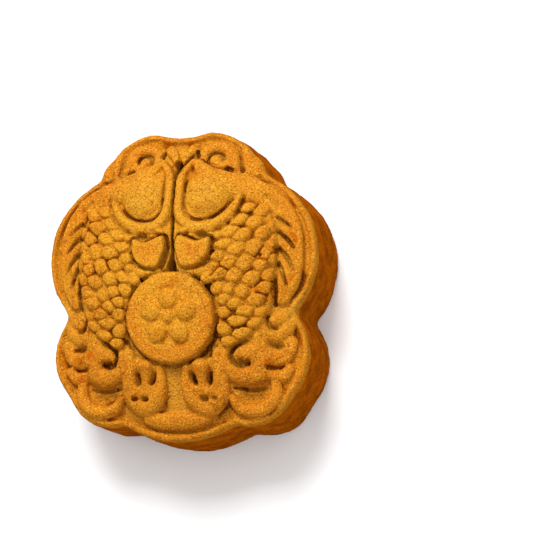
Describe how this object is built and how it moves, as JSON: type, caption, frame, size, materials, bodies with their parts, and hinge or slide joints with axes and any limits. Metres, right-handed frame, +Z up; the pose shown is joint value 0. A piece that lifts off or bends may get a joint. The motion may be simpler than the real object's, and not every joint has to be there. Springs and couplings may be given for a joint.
{
  "type": "mooncake",
  "caption": "baked mooncake with a lobed edge and a domed top moulded with twin carp round a disc, clouds above and waves below",
  "frame": {"origin": "centre of the cake's box on the plane of its base", "axes": "+Z up from the base through the top; +Y toward the heads of the carp, along the cake's length; +X across it"},
  "size_m": [0.076, 0.0852, 0.0365],
  "materials": {
    "crust": "golden baked pastry crust, dull, with a fine grain"
  },
  "bodies": {
    "root": {"mooncake": "crust"}
  },
  "joints": []
}
